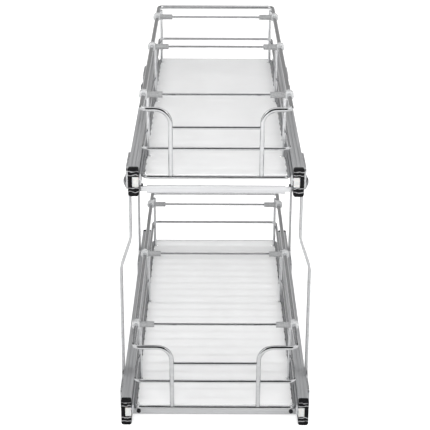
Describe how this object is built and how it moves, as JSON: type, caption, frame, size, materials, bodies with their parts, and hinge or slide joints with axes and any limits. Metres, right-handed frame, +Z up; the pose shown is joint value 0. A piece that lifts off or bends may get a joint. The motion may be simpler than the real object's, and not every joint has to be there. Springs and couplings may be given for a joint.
{
  "type": "pull-out cabinet basket",
  "caption": "Two-tier pull-out cabinet basket: wire baskets with clip-on dividers slide in slotted rails, the upper tier carried on joggled strap legs.",
  "frame": {"origin": "middle of the footprint, on the floor that the feet stand on", "axes": "+X to the right seen from the front, +Y to the back of the cabinet, +Z up; the baskets pull out along -Y"},
  "size_m": [0.2146, 0.52, 0.3682],
  "materials": {
    "chrome_wire": "bright chrome plate",
    "aluminium": "satin anodised",
    "strap_steel": "satin",
    "black_plastic": "gloss",
    "white_nylon": "smooth moulded",
    "grey_plastic": "smooth moulded",
    "frosted_sheet": "frosted, translucent",
    "zinc_plate": "bright zinc",
    "black_oxide": "black oxide"
  },
  "bodies": {
    "frame": {"lower_rail_left": "aluminium", "lower_rail_right": "aluminium", "upper_rail_left": "aluminium", "upper_rail_right": "aluminium", "lower_front_caps": "black_plastic", "lower_rear_caps": "black_plastic", "upper_front_caps": "black_plastic", "upper_rear_caps": "black_plastic", "lower_front_bar": "aluminium", "lower_rear_bar": "aluminium", "upper_front_bar": "aluminium", "upper_rear_bar": "aluminium", "lower_corner_brackets": "aluminium", "lower_bar_screws": "black_oxide", "lower_bracket_screws": "zinc_plate", "upper_bar_screws": "zinc_plate", "front_leg_left": "strap_steel", "front_leg_right": "strap_steel", "rear_leg_left": "strap_steel", "rear_leg_right": "strap_steel", "upper_leg_bolts": "zinc_plate", "lower_leg_screws": "zinc_plate"},
    "lower_basket": {"lower_rim": "chrome_wire", "lower_mid_wire": "chrome_wire", "lower_bottom_wire": "chrome_wire", "lower_guard_wire": "chrome_wire", "lower_side_wires": "chrome_wire", "lower_floor_wires": "chrome_wire", "lower_liner": "frosted_sheet", "lower_runner_left": "aluminium", "lower_runner_right": "aluminium", "lower_front_plugs": "white_nylon", "lower_rear_glides": "white_nylon", "lower_stop_pins": "zinc_plate"},
    "upper_basket": {"upper_rim": "chrome_wire", "upper_mid_wire": "chrome_wire", "upper_bottom_wire": "chrome_wire", "upper_guard_wire": "chrome_wire", "upper_side_wires": "chrome_wire", "upper_floor_wires": "chrome_wire", "upper_liner": "frosted_sheet", "upper_runner_left": "aluminium", "upper_runner_right": "aluminium", "upper_front_plugs": "white_nylon", "upper_rear_glides": "white_nylon", "upper_stop_pins": "zinc_plate"},
    "lower_front_divider": {"lower_divider_rod_front": "chrome_wire", "lower_divider_clips_front": "grey_plastic"},
    "lower_middle_divider": {"lower_divider_rod_middle": "chrome_wire", "lower_divider_clips_middle": "grey_plastic"},
    "lower_rear_divider": {"lower_divider_rod_rear": "chrome_wire", "lower_divider_clips_rear": "grey_plastic"},
    "upper_front_divider": {"upper_divider_rod_front": "chrome_wire", "upper_divider_clips_front": "grey_plastic"},
    "upper_middle_divider": {"upper_divider_rod_middle": "chrome_wire", "upper_divider_clips_middle": "grey_plastic"},
    "upper_rear_divider": {"upper_divider_rod_rear": "chrome_wire", "upper_divider_clips_rear": "grey_plastic"}
  },
  "joints": [
    {"name": "lower_basket_slide", "type": "slide", "parent": "frame", "child": "lower_basket", "axis": [0, -1, 0], "range_m": [0, 0.32]},
    {"name": "upper_basket_slide", "type": "slide", "parent": "frame", "child": "upper_basket", "axis": [0, -1, 0], "range_m": [0, 0.32]},
    {"name": "lower_front_divider_slide", "type": "slide", "parent": "lower_basket", "child": "lower_front_divider", "axis": [0, -1, 0], "range_m": [0, 0.045]},
    {"name": "lower_middle_divider_slide", "type": "slide", "parent": "lower_basket", "child": "lower_middle_divider", "axis": [0, -1, 0], "range_m": [-0.0055, 0.1915]},
    {"name": "lower_rear_divider_slide", "type": "slide", "parent": "lower_basket", "child": "lower_rear_divider", "axis": [0, -1, 0], "range_m": [-0.0175, 0.1585]},
    {"name": "upper_front_divider_slide", "type": "slide", "parent": "upper_basket", "child": "upper_front_divider", "axis": [0, -1, 0], "range_m": [-0.003, 0.042]},
    {"name": "upper_middle_divider_slide", "type": "slide", "parent": "upper_basket", "child": "upper_middle_divider", "axis": [0, -1, 0], "range_m": [-0.0045, 0.1925]},
    {"name": "upper_rear_divider_slide", "type": "slide", "parent": "upper_basket", "child": "upper_rear_divider", "axis": [0, -1, 0], "range_m": [-0.033, 0.143]}
  ]
}
